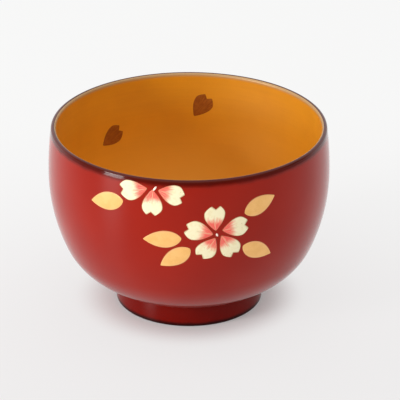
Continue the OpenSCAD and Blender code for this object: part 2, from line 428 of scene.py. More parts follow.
@dataclass(frozen=True)
class GoldLacquer:
    """Satin ochre lacquer strewn with fine gold powder, lighter low down as painted light and paler by
    the lip as a painted sheen.
    """

    name: str
    colour: Colour
    deep: Colour
    lip: float = 76 * MM
    # Painted sheen: a paler colour by the lip
    lip_sheen_fade: Span = (2.2 * MM, 0.5 * MM)
    lip_sheen_colour: Colour = (0.50, 0.30, 0.12)
    # Painted light: a lighter colour low in the bowl, where its depth shades it
    low_light_fade: Span = (64 * MM, 22 * MM)
    low_light_share: float = 0.85
    low: Colour = (0.90, 0.42, 0.012)
    roughness: float = 0.45
    powder_roughness: float = 0.12
    metal: float = 0.25
    coat: float = 0.55
    coat_roughness: float = 0.6
    coat_ior: float = 1.5
    bump_depth: float = 0.02 * MM
    cloud_size: float = 18 * MM
    powder_size: float = 0.25 * MM
    turned_size: float = 30 * MM
    turned_squash: float = 30.0

    def build(self) -> bpy.types.Material:
        """Makes the material.

        Returns:
            The lacquer.
        """
        shader = Shader(self.name)
        place = shader.place()
        cloud = shader.noise(place, self.cloud_size, 3)
        powder = shader.noise(place, self.powder_size)
        turned = shader.noise(shader.stretched(place, (1, 1, self.turned_squash)), self.turned_size, 3)
        shade = (cloud * 0.5 + powder * 0.3 + turned * 0.2).step(*SOFT)
        colour = shader.mixed(shade, self.colour, self.deep)
        up = place.parts()[2]
        # Painted light low in the bowl
        colour = shader.mixed(up.step(*self.low_light_fade) * self.low_light_share, colour, self.low)
        # Painted pale sheen by the lip
        lip_sheen = up.step(*(self.lip - under for under in self.lip_sheen_fade))
        colour = shader.mixed(lip_sheen, colour, self.lip_sheen_colour)
        return shader.finish(
            Base_Color=colour, Roughness=powder * self.powder_roughness + self.roughness,
            Metallic=self.metal, Normal=shader.bump(powder * 0.6 + turned * 0.4, self.bump_depth),
            Coat_Weight=self.coat, Coat_Roughness=self.coat_roughness, Coat_IOR=self.coat_ior)


# ---- paints and wood


@dataclass(frozen=True)
class FilmPaint:
    """What all the paints of the decoration share: a satin surface under a thin coat."""

    name: str
    roughness: float = 0.36
    uneven_roughness: float = 0.1
    metal: float = 0.0
    coat: float = 0.3
    coat_roughness: float = 0.2
    bump_depth: float = 0.02 * MM
    # Share of the painted shade along a film's raised edge
    edge_shade_share: float = 0.6
    ray_base: float = 0.06

    def satin(self, shader: Shader, colour: Signal, uneven: Signal, height: Signal) -> bpy.types.Material:
        """Ends a paint's material.

        Args:
            shader: the material's builder.
            colour: its colour.
            uneven: noise that varies its roughness.
            height: the height of its bump, 0 to 1.

        Returns:
            The paint.
        """
        return shader.finish(
            Base_Color=colour, Roughness=uneven * self.uneven_roughness + self.roughness,
            Metallic=self.metal, Normal=shader.bump(height, self.bump_depth),
            Coat_Weight=self.coat, Coat_Roughness=self.coat_roughness)

    def slope(self, along: Signal, across: Signal) -> Signal:
        """Slope of the line from behind a petal's base to a place on it."""
        return (across - 0.5) / (along + self.ray_base)


@dataclass(frozen=True)
class PetalPaint(FilmPaint):
    """Cream petal, shaded coral at its base in rays, with fine gold lines and dots, and painted shade
    along its raised edge.
    """

    coat: float = 0.25
    coat_roughness: float = 0.25
    bump_depth: float = 0.03 * MM
    cream: Colour = (0.88, 0.80, 0.52)
    shade: Colour = (0.83, 0.70, 0.39)
    shade_share: float = 0.6
    coral: Colour = (0.82, 0.10, 0.07)
    blush: Colour = (0.90, 0.40, 0.25)
    gold: Colour = (0.40, 0.30, 0.08)
    # Colour of the painted shade along the petal's raised edge
    outline: Colour = (0.42, 0.26, 0.08)
    cloud_size: float = 1.4 * MM
    ray_scale: Colour = (5.0, 0.8, 120.0)
    ray_size: float = 0.5
    reach: float = 0.4
    reach_by_ray: float = 0.35
    reach_by_cloud: float = 0.12
    reach_fade: Span = (0.15, -0.15)
    rib: Span = (0.16, 0.03)
    rib_start: Span = (-0.02, 0.1)
    rib_end: Span = (0.5, 0.2)
    rib_share: float = 0.75
    streak: Span = (0.52, 0.66)
    streak_end: Span = (0.5, 0.25)
    streak_share: float = 0.55
    line: Span = (0.035, 0.012)
    line_waver: float = 0.05
    line_end: Span = (0.62, 0.5)
    line_share: float = 0.4
    dot_pitch: float = 1.25 * MM
    dot_r: float = 0.2 * MM
    dot_start: Span = (0.42, 0.5)
    dot_share: float = 0.7

    def build(self) -> bpy.types.Material:
        """Makes the material.

        Returns:
            The paint.
        """
        shader = Shader(self.name)
        place = shader.place()
        along, across = shader.film_map(FilmMap.SHAPE)
        slope = self.slope(along, across)
        cloud = shader.noise(place, self.cloud_size, 3)
        fan, length, rise = self.ray_scale
        fanned = shader.joined(slope * fan, along * length, place.parts()[2] * rise)
        rays = shader.noise(fanned, self.ray_size)
        reach = self.reach + (rays - 0.5) * self.reach_by_ray + (cloud - 0.5) * self.reach_by_cloud
        rib = abs(slope).step(*self.rib) * along.step(*self.rib_end) * along.step(*self.rib_start)
        streak = rays.step(*self.streak) * along.step(*self.streak_end)
        pale = (rib * self.rib_share + streak * self.streak_share).clamped()
        base = shader.mixed(pale, self.coral, self.blush)
        cream = shader.mixed(cloud.step(*PATCHY) * self.shade_share, self.cream, self.shade)
        colour = shader.mixed((along - reach).step(*self.reach_fade), cream, base)
        line = abs(slope + (cloud - 0.5) * self.line_waver).step(*self.line) * along.step(*self.line_end)
        dots = shader.specks(place, self.dot_pitch, self.dot_r) * along.step(*self.dot_start)
        gold = (line * self.line_share + dots * self.dot_share).clamped()
        colour = shader.mixed(gold, colour, self.gold)
        # Painted shade along the raised edge
        colour = shader.mixed(shader.film_edge() * self.edge_shade_share, colour, self.outline)
        return self.satin(shader, colour, cloud, cloud * 0.5 + rays * 0.5)


@dataclass(frozen=True)
class LeafGold(FilmPaint):
    """Satin powdered gold, a little redder along the leaf's edge, with painted shade along its raised
    rim.
    """

    roughness: float = 0.34
    uneven_roughness: float = 0.15
    metal: float = 0.15
    coat: float = 0.2
    coat_roughness: float = 0.25
    gold: Colour = (0.91, 0.51, 0.165)
    deep: Colour = (0.84, 0.445, 0.12)
    edge: Colour = (0.92, 0.47, 0.19)
    edge_fade: Span = (0.72, 0.95)
    edge_share: float = 0.8
    # Colour of the painted shade along the leaf's raised rim
    outline: Colour = (0.40, 0.17, 0.04)
    powder_size: float = 0.3 * MM
    cloud_size: float = 4 * MM
    shade: Span = (0.35, 0.65)

    def build(self) -> bpy.types.Material:
        """Makes the material.

        Returns:
            The paint.
        """
        shader = Shader(self.name)
        place = shader.place()
        inward = abs(shader.film_map(FilmMap.SHAPE)[1] - 0.5) * 2
        powder = shader.noise(place, self.powder_size, 3)
        cloud = shader.noise(place, self.cloud_size)
        shade = (cloud * 0.6 + powder * 0.4).step(*self.shade)
        body = shader.mixed(shade, self.gold, self.deep)
        colour = shader.mixed(inward.step(*self.edge_fade) * self.edge_share, body, self.edge)
        # Painted shade along the raised rim
        colour = shader.mixed(shader.film_edge() * self.edge_shade_share, colour, self.outline)
        return self.satin(shader, colour, powder, powder * 0.6 + cloud * 0.4)


@dataclass(frozen=True)
class StainPaint(FilmPaint):
    """Satin red-brown paint of the loose petals on the inside."""

    colour: Colour = (0.23, 0.052, 0.002)
    light: Colour = (0.33, 0.09, 0.005)
    ray_fan: float = 6.0
    ray_size: float = 0.5
    cloud_size: float = 1.5 * MM
    shade: Span = (0.4, 0.65)

    def build(self) -> bpy.types.Material:
        """Makes the material.

        Returns:
            The paint.
        """
        shader = Shader(self.name)
        along, across = shader.film_map(FilmMap.SHAPE)
        rays = shader.noise(shader.joined(self.slope(along, across) * self.ray_fan, along), self.ray_size)
        cloud = shader.noise(shader.place(), self.cloud_size, 3)
        shade = (rays * 0.6 + cloud * 0.4).step(*self.shade)
        return self.satin(shader, shader.mixed(shade, self.colour, self.light), cloud, cloud)


@dataclass(frozen=True)
class CreamDot(FilmPaint):
    """Thick cream paint of the blossoms' middles."""

    roughness: float = 0.35
    bump_depth: float = 0.03 * MM
    colour: Colour = (0.92, 0.80, 0.68)
    blush: Colour = (0.88, 0.55, 0.45)
    cloud_size: float = 0.6 * MM

    def build(self) -> bpy.types.Material:
        """Makes the material.

        Returns:
            The paint.
        """
        shader = Shader(self.name)
        cloud = shader.noise(shader.place(), self.cloud_size)
        colour = shader.mixed(cloud.step(*PATCHY), self.colour, self.blush)
        return self.satin(shader, colour, cloud, cloud)


@dataclass(frozen=True)
class TurnedWood:
    """Pale turned hardwood of the core, grown upright round a heart beside the bowl."""

    name: str
    early: Colour = (0.62, 0.43, 0.25)
    late: Colour = (0.40, 0.24, 0.12)
    heart: float = 90 * MM
    warp: float = 6 * MM
    warp_size: float = 40 * MM
    ring_width: float = 2.4 * MM
    fibre_size: float = 0.5 * MM
    fibre_stretch: float = 0.05
    roughness: float = 0.5
    fibre_roughness: float = 0.2
    bump_depth: float = 0.05 * MM

    def build(self) -> bpy.types.Material:
        """Makes the material.

        Returns:
            The wood.
        """
        shader = Shader(self.name)
        place = shader.place()
        x, y, _ = place.parts()
        warp = shader.noise(place, self.warp_size, 3) * self.warp
        rings = (((x + self.heart) ** 2 + y ** 2) ** 0.5 + warp) / self.ring_width
        ring = (rings - rings.whole()).step(0.5, 1.0)
        fibre = shader.noise(shader.stretched(place, (1, 1, self.fibre_stretch)), self.fibre_size, 3)
        colour = shader.mixed((ring * 0.7 + fibre * 0.3).clamped(), self.early, self.late)
        return shader.finish(Base_Color=colour, Roughness=fibre * self.fibre_roughness + self.roughness,
                             Normal=shader.bump(fibre, self.bump_depth))


# ---- the bowl's shape


@dataclass(frozen=True)
class Arc:
    """One arc of the bowl's section, in the plane of radius and height."""

    centre: tuple[float, float]
    radius: float
    start: float
    end: float

    def stations(self, steps: int) -> Points:
        """Points along the arc.

        Args:
            steps: number of steps from start to end.

        Returns:
            Rows of radius, height and the angle of the outward normal.
        """
        angle = np.linspace(self.start, self.end, steps + 1)
        return np.column_stack([
            self.centre[0] + self.radius * np.cos(angle),
            self.centre[1] + self.radius * np.sin(angle),
            angle,
        ])


def eased(share: Points) -> Points:
    """Smooth step of an array held within 0 and 1."""
    share = np.clip(share, 0.0, 1.0)
    return share * share * (3 - 2 * share)


@dataclass
class BowlSection:
    """The bowl's section: tangent arcs outside, and a wall that thickens to the floor."""

    height: float
    belly_r: float
    foot_r: float
    belly_drop: float = 20 * MM
    rim_inset: float = 1.3 * MM
    lip_r: float = 1.05 * MM
    side_r: float = 74 * MM
    haunch_r: float = 28 * MM
    bottom_r: float = 72 * MM
    bottom_z: float = 2.0 * MM
    wall_t: float = 3 * MM
    floor_t: float = 5 * MM
    coat_t: float = 0.3 * MM
    rim_over: float = math.radians(25)
    foot_wall: float = 3.5 * MM
    recess_h: float = 6 * MM
    sole_round: float = 0.8 * MM
    step_length: float = 0.6 * MM
    outer: Points = field(init=False)
    foot_station: int = field(init=False)
    lip_turn: float = field(init=False)
    lip_centre: Points = field(init=False)

    def __post_init__(self) -> None:
        """Works out the arcs and the line of stations up the outside."""
        belly_z = self.height - self.belly_drop
        rise = self.belly_drop - self.lip_r
        upper_r = ((self.rim_inset + self.lip_r) ** 2 + rise ** 2 - self.lip_r ** 2) / (
            2 * self.rim_inset)
        upper = (self.belly_r - upper_r, belly_z)
        side = Vector((self.belly_r - self.side_r, belly_z))
        bottom = Vector((0.0, self.bottom_z + self.bottom_r))
        to_side = self.side_r - self.haunch_r
        to_bottom = self.bottom_r - self.haunch_r
        between = (bottom - side).length
        along = (to_side ** 2 - to_bottom ** 2 + between ** 2) / (2 * between)
        aside = math.sqrt(to_side ** 2 - along ** 2)
        ahead = (bottom - side) / between
        haunch = side + along * ahead + aside * Vector((ahead.y, -ahead.x))
        low = math.atan2(haunch.y - bottom.y, haunch.x - bottom.x)
        high = math.atan2(haunch.y - side.y, haunch.x - side.x)
        self.lip_turn = math.asin(rise / (upper_r - self.lip_r))
        foot_turn = -math.acos(self.foot_r / self.bottom_r)
        arcs = [
            Arc(tuple(bottom), self.bottom_r, -math.pi / 2, foot_turn),
            Arc(tuple(bottom), self.bottom_r, foot_turn, low),
            Arc(tuple(haunch), self.haunch_r, low, high),
            Arc(tuple(side), self.side_r, high, 0.0),
            Arc(upper, upper_r, 0.0, self.lip_turn),
        ]
        runs = [arc.stations(self._steps(arc)) for arc in arcs]
        self.foot_station = len(runs[0]) - 1
        self.outer = np.concatenate([runs[0]] + [run[1:] for run in runs[1:]])
        self.lip_centre = self.sunk(self.outer[-1:], self.lip_r)[0]

    def _steps(self, arc: Arc, least: int = 4) -> int:
        """Number of steps of about step_length along an arc."""
        return max(least, round(abs(arc.end - arc.start) * arc.radius / self.step_length))

    @staticmethod
    def sunk(stations: Points, depth: Points | float) -> Points:
        """Stations moved into the wall along their normals.

        Args:
            stations: rows of radius, height and angle.
            depth: how far, one number or one for each row.

        Returns:
            Rows of radius and height.
        """
        angle = stations[:, 2]
        ahead = np.column_stack([np.cos(angle), np.sin(angle)])
        return stations[:, :2] - np.reshape(depth, (-1, 1)) * ahead

    def wall(self) -> Points:
        """Thickness of the wall, which eases from the floor's to the side's and the lip's.

        Returns:
            The thickness at each station of the outside.
        """
        angle = self.outer[:, 2]
        middle = self.recess_h + self.floor_t - self.bottom_z
        low = middle + (self.wall_t - middle) * eased((angle + math.pi / 2) / (math.pi / 2))
        high = self.wall_t + (2 * self.lip_r - self.wall_t) * eased(angle / self.lip_turn)
        return np.where(angle < 0, low, high)

    def outside(self, depth: float = 0.0) -> Points:
        """Line of the outside, from the underside's middle up to the lip, sunk by depth."""
        return self.sunk(self.outer, depth)

    def inside(self, depth: float = 0.0) -> Points:
        """Line of the inside, from the floor's middle up to the lip, sunk by depth."""
        return self.sunk(self.outer, self.wall() - depth)

    def lip(self, start: float, end: float, inset: float = 0.0, steps: int = 16) -> Points:
        """Line of the lip's round between two angles, some way inside its surface."""
        return Arc(tuple(self.lip_centre), self.lip_r - inset, start, end).stations(steps)[:, :2]

    def foot(self, inset: float = 0.0, steps: int = 10) -> Points:
        """Line of the foot from its outside wall round the sole to the recess's middle.

        Args:
            inset: how far inside the surface.
            steps: steps of each rounded edge.

        Returns:
            Rows of radius and height.
        """
        edge = self.sole_round - inset
        ring_in = self.foot_r - self.foot_wall
        outer = Arc((self.foot_r - self.sole_round, self.sole_round), edge, 0, -math.pi / 2)
        inner = Arc((ring_in + self.sole_round, self.sole_round), edge, -math.pi / 2, -math.pi)
        fillet = self.sole_round + inset
        top = self.recess_h + inset
        corner = Arc((ring_in - self.sole_round, self.recess_h - self.sole_round), fillet,
                     0, math.pi / 2)
        return np.concatenate([
            outer.stations(steps)[:, :2], inner.stations(steps)[:, :2],
            corner.stations(steps)[:, :2], [[0.0, top]]])

    def lean_and_radius(self, height: Points) -> tuple[Points, Points]:
        """Lean of the outside's normal above level, and the outside's radius, at heights."""
        line = self.outer[self.foot_station:]
        return np.interp(height, line[:, 1], line[:, 2]), np.interp(height, line[:, 1], line[:, 0])

    def lean_and_radius_inside(self, height: Points) -> tuple[Points, Points]:
        """Lean of the wall's normal and the inside's radius.

        Args:
            height: heights on the inside.

        Returns:
            The lean and the radius at each.
        """
        line = self.inside()
        rise = line[:, 1] + HAIR * np.arange(len(line))
        slope = np.gradient(line[:, 0]) / np.gradient(rise)
        return (np.interp(height, line[:, 1], -np.arctan(slope)),
                np.interp(height, line[:, 1], line[:, 0]))


# ---- mesh work


def new_piece(name: str, mesh: bpy.types.Mesh, material: bpy.types.Material,
              node: str) -> None:
    """Puts a mesh into the scene as a piece of the bowl.

    Args:
        name: the piece's name.
        mesh: its mesh.
        material: its finish.
        node: the frame's node it stands for.
    """
    piece = bpy.data.objects.new(name, mesh)
    bpy.context.scene.collection.objects.link(piece)
    mesh.materials.append(material)
    mesh.shade_smooth()
    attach(piece, "root")
    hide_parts(node)
    LOG.info("%s: %d vertices, stands for %s", name, len(mesh.vertices), node)


def turned_mesh(name: str, line: Points, turns: int = 288) -> bpy.types.Mesh:
    """Turns a closed line round the axis, as a lathe does.

    Args:
        name: the mesh's name.
        line: rows of radius and height; a point at radius 0 becomes one vertex.
        turns: number of steps round the axis.

    Returns:
        A closed mesh with its faces outward.
    """
    form = bmesh.new()
    rings = []
    for radius, height in line:
        if radius < AXIS_R:
            rings.append([form.verts.new((0.0, 0.0, height))])
            continue
        angles = [math.tau * i / turns for i in range(turns)]
        rings.append([form.verts.new((radius * math.cos(a), radius * math.sin(a), height))
                      for a in angles])
    for low, high in zip(rings, rings[1:] + rings[:1]):
        if len(low) == 1 and len(high) == 1:
            continue
        for i in range(turns):
            j = (i + 1) % turns
            corners = [low[i % len(low)], low[j % len(low)], high[j % len(high)], high[i % len(high)]]
            form.faces.new(list(dict.fromkeys(corners)))
    bmesh.ops.recalc_face_normals(form, faces=form.faces)
    mesh = bpy.data.meshes.new(name)
    form.to_mesh(mesh)
    form.free()
    return mesh


def thinned(line: Points, stride: int = 4) -> Points:
    """Every few points of a line that nobody sees, with both its ends."""
    return np.concatenate([line[:-1:stride], line[-1:]])


# ---- coats


@dataclass
class TurnedBowl:
    """The turned wooden core and its coats: outside, lip, inside and foot."""

    section: BowlSection
    crease_deg: float = 40.0
    core_lip_steps: int = 32
    red: BodyLacquer = field(init=False)
    dark: LipLacquer = field(init=False)
    foot_red: FootLacquer = field(init=False)
    gold: GoldLacquer = field(init=False)
    wood: TurnedWood = TurnedWood("turned_wood")

    def __post_init__(self) -> None:
        """Works out the finishes that change with height."""
        part = self.section
        self.red = BodyLacquer("red_lacquer", (0.305, 0.0085, 0.0003), (0.265, 0.006, 0.0003),
                               joint=part.outer[-1, 1])
        self.dark = LipLacquer("dark_lacquer", (0.09, 0.006, 0.002), (0.06, 0.004, 0.002),
                               ior=1.3, crest=part.height)
        # The foot's red is darker than the body's red: painted shade under the belly
        self.foot_red = FootLacquer("foot_red_lacquer", (0.165, 0.003, 0.0003),
                                    (0.13, 0.002, 0.0003), ior=1.18, coat_ior=1.07)
        self.gold = GoldLacquer("gold_lacquer", (0.76, 0.33, 0.001), (0.68, 0.285, 0.001),
                                lip=part.height)

    def build(self) -> None:
        """Builds the core and every coat."""
        self.core()
        self.outer_coat()
        self.rim_coat()
        self.inner_coat()
        self.foot_coat()

    def _turned(self, node: str, line: Points, finish: Any,
                ending: str = "_coat") -> None:
        """Turns one piece.

        Args:
            node: the frame's node it stands for.
            line: its closed section.
            finish: its finish.
            ending: what the piece's name adds to the node's.
        """
        mesh = turned_mesh(node + ending, line)
        mesh.set_sharp_from_angle(angle=math.radians(self.crease_deg))
        new_piece(node + ending, mesh, finish.build(), node)

    def core(self) -> None:
        """The wood under the coats, from the foot up over the lip and down to the floor."""
        part = self.section
        under = part.outside(part.coat_t)[part.foot_station:]
        line = np.concatenate([
            [[part.foot_r - part.coat_t, under[0, 1]]], thinned(under),
            part.lip(part.lip_turn, part.lip_turn + math.pi, part.coat_t, self.core_lip_steps)[1:-1],
            thinned(part.inside(part.coat_t))[::-1], part.foot(part.coat_t)[::-1]])
        self._turned("wood_core", line, self.wood, "_turning")

    def outer_coat(self) -> None:
        """The red coat from the foot to the lip."""
        part = self.section
        outside = part.outside()[part.foot_station:]
        under = thinned(part.outside(part.coat_t)[part.foot_station:])
        line = np.concatenate([outside, under[::-1]])
        self._turned("outer_lacquer", line, self.red)

    def rim_coat(self) -> None:
        """The dark coat over the lip's shoulder and crest."""
        part = self.section
        end = math.pi / 2 + part.rim_over
        line = np.concatenate([part.lip(part.lip_turn, end), part.lip(end, part.lip_turn, part.coat_t)])
        self._turned("rim_lacquer", line, self.dark)

    def inner_coat(self) -> None:
        """The gold coat from the lip's inner edge over the floor."""
        part = self.section
        start, end = math.pi / 2 + part.rim_over, part.lip_turn + math.pi
        line = np.concatenate([
            part.lip(start, end), part.inside()[::-1][1:],
            thinned(part.inside(part.coat_t)), part.lip(end, start, part.coat_t)[1:]])
        self._turned("inner_lacquer", line, self.gold)

    def foot_coat(self) -> None:
        """The red coat round the foot ring, its sole and its recess."""
        part = self.section
        joint = part.outside()[part.foot_station]
        under = part.outside(part.coat_t)[part.foot_station]
        line = np.concatenate([
            [joint], part.foot(), part.foot(part.coat_t)[::-1],
            [[part.foot_r - part.coat_t, under[1]], under]])
        self._turned("foot_lacquer", line, self.foot_red)


# ---- decoration films


@dataclass(frozen=True)
class PetalShape:
    """Outline of a cherry petal: pointed base, full shoulders, notched end."""

    length: float
    bow: float = 0.0
    width: float = 8.2 * MM
    notch: float = 1.6 * MM
    shoulder: float = 0.67
    fullness: float = 0.9
    tips: float = 0.48
    tip_round: float = 0.45 * MM
    tip_from: float = 0.7
    notch_from: float = 0.55
    blunt: float = 0.15 * MM
    blunt_to: float = 0.15

    def half(self, along: Points) -> Points:
        """Half the petal's width.

        Args:
            along: shares of the length from the base.

        Returns:
            Half the width at each.
        """
        below = np.sin(math.pi / 2 * (np.minimum(along, self.shoulder) / self.shoulder) ** self.fullness)
        beyond = 1 - (1 - self.tips) * ((along - self.shoulder) / (1 - self.shoulder)) ** 2
        return self.width / 2 * np.where(along < self.shoulder, below, beyond)

    def points(self, along: Points, across: Points) -> Points:
        """Places in the petal's plane, base at the origin and length along X.

        Args:
            along: 0 at the base to 1 at the tips.
            across: -1 at the right edge to 1 at the left edge.

        Returns:
            X and Y of each place.
        """
        blunt = self.blunt * (1 - eased(along / self.blunt_to))
        pulled = eased((along - self.notch_from) / (1 - self.notch_from))
        shoulder = np.clip((np.abs(across) - self.tip_from) / (1 - self.tip_from), 0, 1) ** 2
        back = pulled * (self.notch * (1 - np.abs(across)) + self.tip_round * shoulder)
        y = across * (self.half(along) + blunt) + 4 * self.bow * along * (1 - along)
        return np.stack([self.length * along - back, y], -1)

    def map_of(self, place: Points) -> Points:
        """Map coordinates of places in the petal's plane.

        Args:
            place: X and Y of each.

        Returns:
            Share of the length, and share of the width about 0.5.
        """
        along = place[..., 0] / self.length
        bowed = place[..., 1] - 4 * self.bow * along * (1 - along)
        return np.stack([along, 0.5 + bowed / self.width], -1)


@dataclass(frozen=True)
class LeafShape:
    """Outline of a leaf: round end, pointed far end."""

    length: float
    width: float = 7.4 * MM
    round_end: float = 0.7
    pointed_end: float = 0.95
    blunt: float = 0.05 * MM

    def half(self, along: Points) -> Points:
        """Half the leaf's width.

        Args:
            along: shares of the length from the round end.

        Returns:
            Half the width at each.
        """
        widest = self.round_end / (self.round_end + self.pointed_end)
        rise = (along / widest) ** self.round_end
        fall = ((1 - along) / (1 - widest)) ** self.pointed_end
        return self.width / 2 * rise * fall + self.blunt

    def points(self, along: Points, across: Points) -> Points:
        """Places in the leaf's plane, middle at the origin and length along X."""
        share = (1 - np.cos(math.pi * along)) / 2
        return np.stack([self.length * (share - 0.5), across * self.half(share)], -1)

    def map_of(self, place: Points) -> Points:
        """Map coordinates: share of the length, and nearness to each edge about 0.5."""
        along = np.clip(place[..., 0] / self.length + 0.5, 0, 1)
        return np.stack([along, 0.5 + 0.5 * place[..., 1] / self.half(along)], -1)


@dataclass(frozen=True)
class OvalShape:
    """Outline of an oval dot."""

    length: float
    width: float
    blunt: float = 0.04

    def points(self, along: Points, across: Points) -> Points:
        """Places in the dot's plane, middle at the origin and length along X.

        Args:
            along: 0 at one end to 1 at the other.
            across: -1 at the right edge to 1 at the left edge.

        Returns:
            X and Y of each place.
        """
        x = -np.cos(math.pi * along)
        half = np.sqrt(np.clip(1 - x * x, 0, 1)) + self.blunt
        return np.stack([self.length / 2 * x, across * self.width / 2 * half], -1)

    def map_of(self, place: Points) -> Points:
        """Map coordinates over the dot's box."""
        return 0.5 + place / np.array([self.length, self.width])


class WallSide(Enum):
    """The side of the wall that a film lies on."""

    OUTSIDE = 1
    INSIDE = -1


@dataclass
class FilmLayer:
    """Lays thin raised films of paint on the bowl's wall."""

    section: BowlSection
    thickness: float = 0.12 * MM
    edge_share: float = 0.35
    sunk: float = 0.05 * MM
    edge_power: int = 6
    along_steps: int = 56
    across_steps: int = 28
    reach: float = 6 * MM
    halvings: int = 40
    crease_deg: float = 60.0

    def lay(self, node: str, shape: Any, at: tuple[float, float], move: Callable[[Points], Points],
            side: WallSide, material: bpy.types.Material, slot: str) -> None:
        """Lays one film.

        Args:
            node: the frame's node it stands for.
            shape: its outline.
            at: place of the drawing: distance across and drop under the lip.
            move: turns and moves places of the shape within the drawing.
            side: the side of the wall.
            material: its finish.
            slot: the record's slot; not used.
        """
        along, across = np.meshgrid(np.linspace(0, 1, self.along_steps + 1),
                                    np.linspace(-1, 1, self.across_steps + 1), indexing="ij")
        place = shape.points(along, across)
        foot, normal = self._on_wall(move(place), at, side)
        edge = np.maximum(np.abs(across), np.abs(2 * along - 1)) ** self.edge_power
        height = self.thickness * (1 - (1 - self.edge_share) * edge)
        top = foot + height[..., None] * normal
        base = foot - self.sunk * normal
        maps = {FilmMap.SHAPE: shape.map_of(place),
                FilmMap.EDGE: np.stack([along, (across + 1) / 2], -1)}
        mesh = self._closed_mesh(node + "_film", top, base, maps)
        new_piece(node + "_film", mesh, material, node)

    def _on_wall(self, drawn: Points, at: tuple[float, float],
                 side: WallSide) -> tuple[Points, Points]:
        """Carries a flat drawing onto the wall along the drawing's own normal.

        Args:
            drawn: X and Y in the drawing's plane, X to the right and Y up.
            at: place of the drawing.
            side: the side of the wall.

        Returns:
            The points on the wall and the wall's normals, away from the wood.
        """
        part = self.section
        height = part.height - at[1]
        find = part.lean_and_radius if side is WallSide.OUTSIDE else part.lean_and_radius_inside
        lean, radius = (float(value) for value in part.lean_and_radius(np.array(height)))
        if side is WallSide.OUTSIDE:
            turn = at[0] / part.belly_r - math.pi / 2
        else:
            turn = math.pi / 2 - at[0] / (part.belly_r - part.wall_t)
            radius -= part.wall_t
        out = np.array([math.cos(turn) * math.cos(lean), math.sin(turn) * math.cos(lean),
                        math.sin(lean)])
        right = np.array([-math.sin(turn), math.cos(turn), 0.0]) * side.value
        up = np.cross(out, right) * side.value
        origin = np.array([radius * math.cos(turn), radius * math.sin(turn), height])
        plane = origin + drawn[..., :1] * right + drawn[..., 1:] * up
        low = np.full(plane.shape[:-1], -self.reach)
        high = -low
        for _ in range(self.halvings):
            middle = (low + high) / 2
            point = plane + middle[..., None] * out
            beyond = np.hypot(point[..., 0], point[..., 1]) > find(point[..., 2])[1]
            high = np.where(beyond, middle, high)
            low = np.where(beyond, low, middle)
        point = plane + ((low + high) / 2)[..., None] * out
        tilt = find(point[..., 2])[0]
        round_at = np.arctan2(point[..., 1], point[..., 0])
        normal = np.stack([np.cos(round_at) * np.cos(tilt), np.sin(round_at) * np.cos(tilt),
                           np.sin(tilt)], -1)
        return point, normal * side.value

    def _closed_mesh(self, name: str, top: Points, base: Points,
                     maps: dict[FilmMap, Points]) -> bpy.types.Mesh:
        """Joins a top and a base grid into a closed film.

        Args:
            name: the mesh's name.
            top: grid of points on the film.
            base: the same grid under the film.
            maps: coordinates of the grid in each map.

        Returns:
            The mesh, with its maps.
        """
        rows, columns = top.shape[:2]
        form = bmesh.new()
        sheets = {kind: form.loops.layers.uv.new(kind.value) for kind in maps}
        grids = [[[form.verts.new(grid[i, j]) for j in range(columns)] for i in range(rows)]
                 for grid in (top, base)]
        spot = {grids[k][i][j]: (i, j) for k in (0, 1) for i in range(rows) for j in range(columns)}
        for grid in grids:
            for i in range(rows - 1):
                for j in range(columns - 1):
                    form.faces.new([grid[i][j], grid[i + 1][j], grid[i + 1][j + 1], grid[i][j + 1]])
        border = ([(i, 0) for i in range(rows - 1)] + [(rows - 1, j) for j in range(columns - 1)]
                  + [(i, columns - 1) for i in range(rows - 1, 0, -1)]
                  + [(0, j) for j in range(columns - 1, 0, -1)])
        for (i, j), (m, n) in zip(border, border[1:] + border[:1]):
            form.faces.new([grids[0][i][j], grids[0][m][n], grids[1][m][n], grids[1][i][j]])
        bmesh.ops.recalc_face_normals(form, faces=form.faces)
        for face in form.faces:
            for loop in face.loops:
                for kind, sheet in sheets.items():
                    loop[sheet].uv = maps[kind][spot[loop.vert]]
        mesh = bpy.data.meshes.new(name)
        form.to_mesh(mesh)
        form.free()
        mesh.set_sharp_from_angle(angle=math.radians(self.crease_deg))
        return mesh


def turned_about(degrees: float, base: tuple[float, float] = (0.0, 0.0)) -> Callable[[Points], Points]:
    """A move within a drawing's plane.

    Args:
        degrees: turn, anticlockwise.
        base: where the shape's origin goes.

    Returns:
        A function that moves an array of places.
    """
    angle = math.radians(degrees)
    spin = np.array([[math.cos(angle), math.sin(angle)], [-math.sin(angle), math.cos(angle)]])
    return lambda place: place @ spin + np.array(base)


@dataclass
class Blossom:
    """A blossom on the outside: its petals and its middle.

    A petal is given by where its base lies to the right of and above the blossom's place, its
    heading in degrees, its length and its bow, with the lengths in millimetres.
    """

    films: FilmLayer
    name: str
    at: tuple[float, float]
    petals: Sequence[tuple[float, float, float, float, float]]
    middle_node: str
    middle: OvalShape
    middle_base: tuple[float, float]
    middle_heading: float

    def build(self, petal_paint: bpy.types.Material, dot_paint: bpy.types.Material) -> None:
        """Lays the petals and the middle.

        Args:
            petal_paint: finish of the petals.
            dot_paint: finish of the middle.
        """
        for count, (across, up, heading, length, bow) in enumerate(self.petals, 1):
            shape = PetalShape(length * MM, bow * MM)
            move = turned_about(heading, (across * MM, up * MM))
            self.films.lay(f"{self.name}_petal_{count}", shape, self.at, move,
                           WallSide.OUTSIDE, petal_paint, "petal_film")
        move = turned_about(self.middle_heading, self.middle_base)
        self.films.lay(self.middle_node, self.middle, self.at, move,
                       WallSide.OUTSIDE, dot_paint, "stamen_film")


